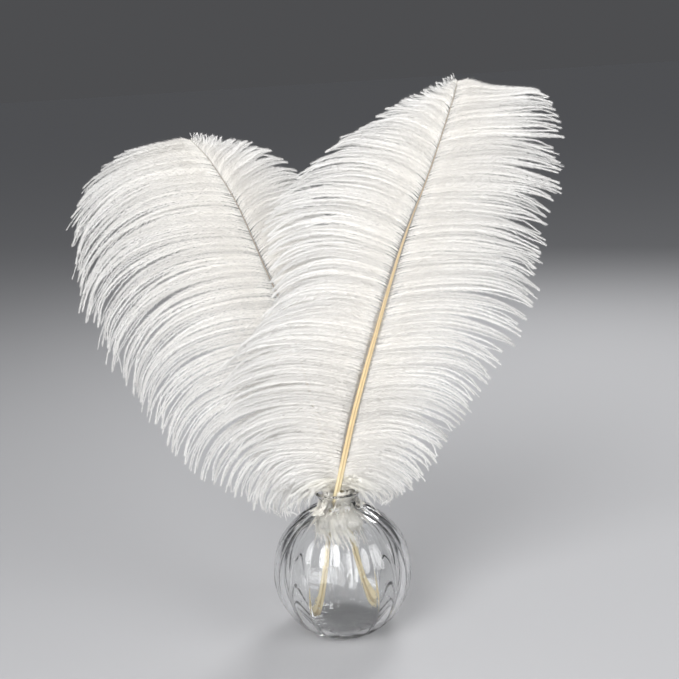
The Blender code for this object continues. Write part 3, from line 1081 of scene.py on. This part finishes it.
@dataclass
class Vase:
    """The glass bud vase: a round ribbed body, a short waisted neck and a flared lip."""

    globe_radius: float = 47.6 * MM
    centre_z: float = 41.5 * MM
    wall: float = 3.0 * MM
    floor_z: float = 6.0 * MM
    shoulder_radius: float = 29.0 * MM
    inner_shoulder_radius: float = 21.0 * MM
    # Points (r, z) of the sloping shoulder, in millimetres
    shoulder_outside: tuple[Pair, ...] = (
        (24.8, 82.9), (20.0, 85.9), (16.6, 87.4), (14.4, 88.9),
    )
    shoulder_inside: tuple[Pair, ...] = ((12.0, 86.0), (16.0, 83.5))
    waist_radius: float = 13.1 * MM
    waist_z: float = 91.8 * MM
    lip_radius: float = 16.0 * MM
    height: float = 99.6 * MM
    neck_wall: float = 2.7 * MM
    ribs: int = 18
    steps_per_rib: int = 12
    rib_depth: float = 1.7 * MM
    rib_fade: float = 9.0 * MM       # height over which the ribs fade out below the waist
    inner_rib_share: float = 0.8
    outer_share: float = 0.6         # share of the wall that moves with the ribs outside
    # Points (r, z) from the waist, and from the lip's radius and the vase's height, in millimetres
    over_waist: Pair = (0.8, 3.6)
    lip: tuple[Pair, ...] = ((0.0, -1.2), (-0.8, 0.0), (-2.4, -0.9))
    inner_waist_drop: float = 0.8 * MM

    def arc(self, radius: float, start: float, end: float, steps: int, rising: bool) -> list[Pair]:
        """Points of the globe's section between two distances from the axis.

        Args:
            radius: The radius of the round.
            start: Distance from the axis where it starts.
            end: Distance from the axis where it ends.
            steps: Number of steps.
            rising: True from the foot up, False from the shoulder down.

        Returns:
            Points (r, z).
        """
        sign = 1 if rising else -1
        first = -sign * math.acos(start / radius)
        last = sign * math.acos(end / radius)
        angles = [first + (last - first) * step / steps for step in range(steps + 1)]
        return [(radius * math.cos(a), self.centre_z + radius * math.sin(a)) for a in angles]

    def section(self) -> list[Pair]:
        """The glass's section: out along the foot, up outside, over the lip and down inside."""
        foot = math.sqrt(self.globe_radius ** 2 - self.centre_z ** 2)
        inner = self.globe_radius - self.wall
        floor = math.sqrt(inner ** 2 - (self.centre_z - self.floor_z) ** 2)
        outside = self.arc(self.globe_radius, foot, self.shoulder_radius, 40, True)
        inside = self.arc(inner, self.inner_shoulder_radius, floor, 30, False)
        neck = threaded(np.array([
            outside[-1],
            *((radius * MM, z * MM) for radius, z in self.shoulder_outside),
            (self.waist_radius, self.waist_z),
            (self.waist_radius + self.over_waist[0] * MM, self.waist_z + self.over_waist[1] * MM),
            *((self.lip_radius + radius * MM, self.height + z * MM) for radius, z in self.lip),
            (self.waist_radius - self.neck_wall, self.waist_z - self.inner_waist_drop),
            *((radius * MM, z * MM) for radius, z in self.shoulder_inside),
            inside[0],
        ]), 6)
        return [
            (0.0, 0.0), (foot * 0.5, 0.0), *outside, *map(tuple, neck[1:]), *inside,
            (floor * 0.5, self.floor_z - 0.4 * MM), (0.0, self.floor_z - 0.8 * MM),
        ]

    def build(self) -> None:
        """Spins the section, presses in the grooves between the ribs and dresses the glass."""
        bm = bmesh.new()
        verts = [bm.verts.new((radius, 0.0, z)) for radius, z in self.section()]
        edges = [bm.edges.new(pair) for pair in zip(verts, verts[1:])]
        bmesh.ops.spin(
            bm, geom=verts + edges, cent=(0, 0, 0), axis=(0, 0, 1),
            angle=2 * math.pi, steps=self.ribs * self.steps_per_rib, use_merge=True,
        )
        bmesh.ops.remove_doubles(bm, verts=bm.verts, dist=1e-6)
        for vert in bm.verts:
            self.press_rib(vert)
        bmesh.ops.recalc_face_normals(bm, faces=bm.faces)
        piece = modelled_object("ribbed_vase", bm)
        finish_piece(piece, GlassFinish().build(), "clear_glass", "vase")

    def press_rib(self, vert: bmesh.types.BMVert) -> None:
        """Moves a point of the glass in towards the axis, most in the grooves between two ribs."""
        radius = math.hypot(vert.co.x, vert.co.y)
        if radius < 1e-6:
            return
        angle = math.atan2(vert.co.y, vert.co.x)
        from_centre = math.hypot(radius, vert.co.z - self.centre_z)
        outside = from_centre > self.globe_radius - self.outer_share * self.wall
        share = 1.0 if outside else self.inner_rib_share
        groove = 1.0 - abs(math.sin(angle * self.ribs / 2))
        fade = max(0.0, min(1.0, (self.waist_z - vert.co.z) / self.rib_fade))
        inset = self.rib_depth * share * groove * fade * radius / self.globe_radius
        vert.co.x *= 1 - inset / radius
        vert.co.y *= 1 - inset / radius


# ------------------------------------------------------------------------------------ the studio


@dataclass
class Studio:
    """Camera, floor, world and soft lights."""

    camera_place: Point = (0.00784, -0.77949, 0.38319)
    pitch: float = 13.0              # degrees below level
    roll: float = 3.6                # degrees, the camera's own tilt
    focal_pixels: float = 1214.0
    image_width: int = 679
    floor_size: float = 40.0
    horizon: Colour = (0.075, 0.076, 0.080)
    overhead: Colour = (0.20, 0.205, 0.215)
    floor_gap: float = 0.3 * MM      # between the floor and the foot, so that the two never coincide
    floor_tone: Colour = (0.42, 0.42, 0.43)
    sky_change: Pair = (0.15, 0.8)   # heights between which the sky lightens

    def build(self) -> None:
        """Sets up the whole studio."""
        self.build_camera()
        self.build_floor()
        self.build_world()
        self.area_light("key", (-0.6, -1.0, 1.05), (0.0, 0.0, 0.12), 1.0, 18.5)
        self.area_light("low", (-0.3, -1.2, 0.3), (0.0, 0.0, 0.05), 1.2, 9.0)
        self.area_light("fill", (0.95, -0.7, 0.6), (0.0, 0.0, 0.2), 0.9, 9.0)
        self.area_light("back", (0.4, 0.9, 0.9), (0.0, 0.0, 0.2), 0.6, 9.0)
        bpy.context.scene.view_settings.view_transform = "Standard"

    def build_camera(self) -> None:
        """Makes the camera at the photograph's angle."""
        pitch, roll = math.radians(self.pitch), math.radians(self.roll)
        ahead = Vector((0, math.cos(pitch), -math.sin(pitch)))
        level = Vector((1, 0, 0))
        upright = Vector((0, math.sin(pitch), math.cos(pitch)))
        right = math.cos(roll) * level - math.sin(roll) * upright
        up = math.sin(roll) * level + math.cos(roll) * upright
        data = bpy.data.cameras.new("camera")
        data.sensor_width = 36.0
        data.lens = self.focal_pixels * data.sensor_width / self.image_width
        camera = linked_object("camera", data)
        turned = Matrix((right, up, -ahead)).transposed().to_4x4()
        camera.matrix_world = Matrix.Translation(self.camera_place) @ turned
        bpy.context.scene.camera = camera

    def build_floor(self) -> None:
        """Makes the pale floor."""
        bm = bmesh.new()
        bmesh.ops.create_grid(
            bm, x_segments=1, y_segments=1, size=self.floor_size / 2,
            matrix=Matrix.Translation((0, 0, -self.floor_gap)),
        )
        floor = modelled_object("floor", bm, smooth=False)
        material, wiring = new_material("pale floor")
        wiring.dress({"Base Color": (*self.floor_tone, 1.0), "Roughness": 0.8})
        floor.data.materials.append(material)

    def build_world(self) -> None:
        """Makes a plain neutral world, as dim at the horizon as the far floor and lighter overhead."""
        world = bpy.data.worlds.new("studio")
        world.use_nodes = True
        wiring = Wiring(world.node_tree)
        place = wiring.node("TexCoord", {}).outputs["Generated"]
        height = wiring.ranged(wiring.parts(place)["Z"], *self.sky_change, smooth=True)
        tone = wiring.blend(height, (*self.horizon, 1.0), (*self.overhead, 1.0))
        wiring.feed(world.node_tree.nodes["Background"].inputs["Color"], tone)
        bpy.context.scene.world = world

    def area_light(self, name: str, place: Point, target: Point, size: float, power: float) -> None:
        """Makes a soft round light.

        Args:
            name: The light's name.
            place: Where it stands.
            target: What it looks at.
            size: How far it is across.
            power: Its power in watts.
        """
        data = bpy.data.lights.new(name, "AREA")
        data.shape = "DISK"
        data.size = size
        data.energy = power
        light = linked_object(name, data)
        light.location = place
        light.rotation_euler = (Vector(target) - Vector(place)).to_track_quat("-Z", "Y").to_euler()


# ------------------------------------------------------------------------------------ the object


# Where the locks of down start, bend and end: in the middle of the neck, along its wall, over the
# shoulder inside and in the globe
CORE = ((1.5, 3.0, 82, 100), (4.0, 6.0, 84, 100), (6.0, 8.0, 80, 98))
WALL = ((8.6, 9.6, 86, 101), (9.2, 10.0, 86, 101), (9.2, 10.0, 85, 101))
SHOULDER = ((9.0, 11.0, 85, 90), (12.0, 14.0, 80, 85), (13.5, 17.5, 74, 79))
HANGING = ((9.0, 13.0, 79, 84), (12.0, 16.0, 74, 78), (14.0, 20.0, 60, 69))

FRONT = Feather(
    name="front",
    node="front_feather",
    route=(
        (-20.5, 0.5, 7.5), (-6.0, -2.6, 78.0), (0.9, -3.5, 103.0), (14.3, -6.0, 153.0),
        (31.5, -8.8, 207.0), (51.4, -9.8, 264.5), (71.6, -8.0, 311.0), (87.4, -3.4, 351.0),
        (91.0, 0.5, 361.0), (93.0, 8.0, 365.0),
    ),
    radii=(
        (0.0, 1.5), (0.03, 1.9), (0.25, 2.05), (0.45, 1.7), (0.60, 1.2), (0.69, 0.88),
        (0.775, 0.58), (0.83, 0.36), (0.95, 0.22), (1.0, 0.15),
    ),
    vanes=(
        Vane("front_vane_right", Side.RIGHT, (
            (99, 50, 78, 165), (105, 58, 74, 154), (112, 61, 72, 142), (130, 68, 70, 134),
            (175, 83, 68, 126), (211, 98, 66, 120), (240, 103, 65, 115), (262, 96, 65, 108),
            (284, 92, 65, 101), (304, 91, 64, 95), (322, 88, 63, 90), (341, 80, 62, 82),
            (356, 71, 63, 80), (369, 60, 67, 68), (376, 46, 73, 63), (381, 28, 80, 60),
        ), 24 * MM, 101),
        Vane("front_vane_left", Side.LEFT, (
            (99, 52, 86, 166), (121, 72, 88, 150), (161, 98, 90, 152), (190, 106, 89, 151),
            (210, 96, 89, 153), (224, 84, 88, 155), (240, 81, 86, 154), (256, 87, 84, 150),
            (270, 94, 83, 147), (285, 95, 82, 146), (309, 80, 80, 142), (333, 56, 76, 133),
            (353, 31, 74, 122), (363, 19, 76, 117), (371, 10.5, 78, 112), (381, 4, 76, 100),
        ), 12 * MM, 102),
    ),
    downs=(Down("front_down", -1, 105, (
        Tuft(30, *CORE, clear=26, gap_at=-18), Tuft(130, *WALL, clear=17, gap_at=-18, twist=12),
        Tuft(120, *SHOULDER, clear=4, gap_at=-24, twist=20), Tuft(34, *HANGING, twist=4),
    )), fluff("front_fluff", -1, 107, clear=60)),
    shaft_finish=ShaftFinish("golden shaft"),
    root=(0.82, 0.66, 0.42),
)

BACK = Feather(
    name="back",
    node="back_feather",
    route=(
        (21.5, 1.0, 7.5), (6.4, 2.5, 73.0), (1.8, 3.4, 98.0), (-11.5, 8.4, 152.0),
        (-24.7, 18.2, 211.0), (-38.9, 27.0, 249.0), (-54.5, 39.2, 290.0), (-68.8, 49.0, 316.0),
        (-77.0, 54.5, 327.0), (-82.5, 59.0, 332.5), (-86.0, 64.0, 335.5),
    ),
    radii=(
        (0.0, 1.4), (0.03, 1.8), (0.25, 1.9), (0.40, 1.5), (0.55, 0.7), (0.65, 0.34),
        (0.85, 0.26), (1.0, 0.15),
    ),
    vanes=(
        Vane("back_vane_right", Side.RIGHT, (
            (100, 52, 76, 156), (136, 78, 70, 140), (196, 80, 80, 150), (256, 62, 82, 145),
            (284, 53, 78, 138), (304, 48, 74, 128), (322, 33, 70, 113), (338, 16, 66, 98),
            (357, 4, 70, 100),
        ), 14 * MM, 103, bare=(1.5, 0.4)),
        Vane("back_vane_left", Side.LEFT, (
            (100, 61, 82, 185), (110, 70, 80, 170), (121, 78, 78, 160), (156, 106, 74, 152),
            (176, 122, 72, 152), (224, 133, 67, 151), (246, 144, 65, 148), (286, 143, 60, 139),
            (312, 138, 56, 130), (331, 124, 52, 114), (345, 112, 48, 86), (351, 98, 46, 66),
            (357, 55, 44, 38),
        ), 26 * MM, 104, count=320, locks=((7, 18, 0.14, 0.60), (1, 4, 0.85, 0.82)),
            bare=(1.5, 0.4), barbule_width=0.50 * MM),
    ),
    downs=(Down("back_down", 1, 106, (
        Tuft(40, *CORE), Tuft(130, *WALL, twist=40),
        Tuft(120, *SHOULDER, twist=20), Tuft(24, *HANGING, twist=4),
    )), fluff("back_fluff", 1, 108, clear=50)),
    shaft_finish=ShaftFinish(
        "grey-brown shaft", middle=(0.76, 0.68, 0.52), tip=(0.27, 0.23, 0.19), golden_end=0.36,
        middle_end=0.46,
    ),
    root=(0.88, 0.85, 0.78),
)


def main() -> None:
    """Builds the studio, the vase and both plumes."""
    logging.basicConfig(level=logging.INFO, format="%(name)s %(message)s")
    Studio().build()
    Vase().build()
    for feather in (FRONT, BACK):
        feather.build()


if __name__ == "__main__":
    main()
